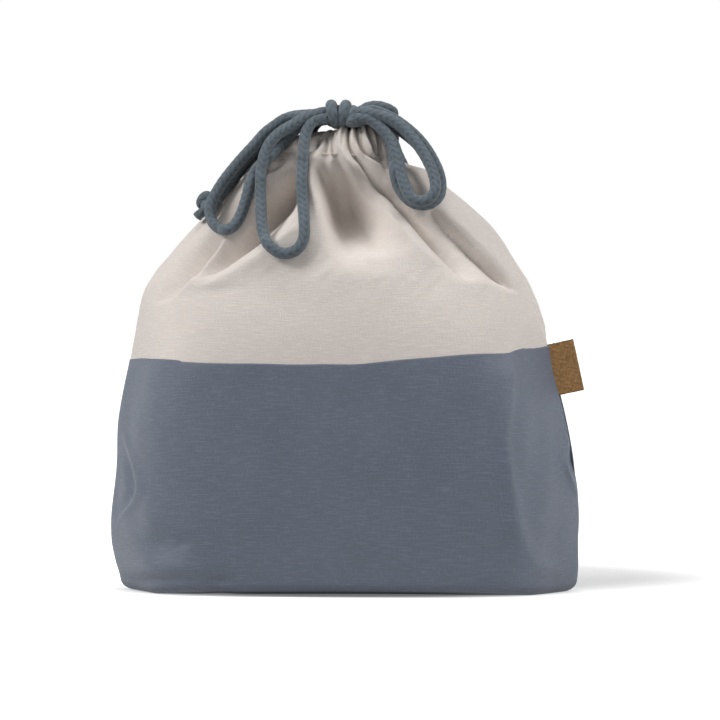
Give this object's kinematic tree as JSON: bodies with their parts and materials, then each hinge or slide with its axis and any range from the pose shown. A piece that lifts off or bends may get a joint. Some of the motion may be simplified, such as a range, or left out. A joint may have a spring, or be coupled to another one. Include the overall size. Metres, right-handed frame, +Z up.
{
  "type": "drawstring bento bag",
  "caption": "Drawstring lunch bag with a coated lower half, a gathered canvas upper half, braided cords tied in a bow and a folded side tag.",
  "frame": {"origin": "on the floor, under the middle of the standing bag, measured without its cords", "axes": "+Z up, -Y towards the front, where the bow hangs, +X towards the seam that holds the tag"},
  "size_m": [0.2453, 0.124, 0.2561],
  "materials": {
    "coated_canvas": "coated linen weave, satin",
    "natural_canvas": "natural slubby cotton and linen weave, matt",
    "braided_cord": "round braided cotton, matt",
    "cork": "thin cork sheet on cloth, worn edges"
  },
  "bodies": {
    "bag": {"lower_front_panel": "coated_canvas", "lower_back_panel": "coated_canvas", "upper_front_panel": "natural_canvas", "upper_back_panel": "natural_canvas", "front_channel": "natural_canvas", "back_channel": "natural_canvas", "left_drawcord": "braided_cord", "right_drawcord": "braided_cord", "bow_knot": "braided_cord"},
    "left_loops": {"left_front_loop": "braided_cord", "left_back_loop": "braided_cord"},
    "right_loops": {"right_front_loop": "braided_cord", "right_back_loop": "braided_cord"},
    "left_tails": {"left_upper_tail": "braided_cord", "left_lower_tail": "braided_cord", "left_end_knot": "braided_cord"},
    "right_tails": {"right_upper_tail": "braided_cord", "right_lower_tail": "braided_cord", "right_end_knot": "braided_cord"},
    "tag": {"cork_tag": "cork"}
  },
  "joints": [
    {"name": "left_loops_lift", "type": "hinge", "parent": "bag", "child": "left_loops", "pos_m": [-0.0175, -0.015, 0.2493], "axis": [0, 1, 0], "range_deg": [0, 90]},
    {"name": "right_loops_lift", "type": "hinge", "parent": "bag", "child": "right_loops", "pos_m": [0.0104, -0.015, 0.2493], "axis": [0, -1, 0], "range_deg": [0, 90]},
    {"name": "left_tails_lift", "type": "hinge", "parent": "bag", "child": "left_tails", "pos_m": [-0.0175, -0.015, 0.2493], "axis": [0, 1, 0], "range_deg": [0, 90]},
    {"name": "right_tails_lift", "type": "hinge", "parent": "bag", "child": "right_tails", "pos_m": [0.0104, -0.015, 0.2493], "axis": [0, -1, 0], "range_deg": [0, 90]},
    {"name": "tag_swing", "type": "hinge", "parent": "bag", "child": "tag", "pos_m": [0.11105, 0, 0.103], "axis": [-0.1921, 0, 0.9814], "range_deg": [-60, 60]}
  ]
}
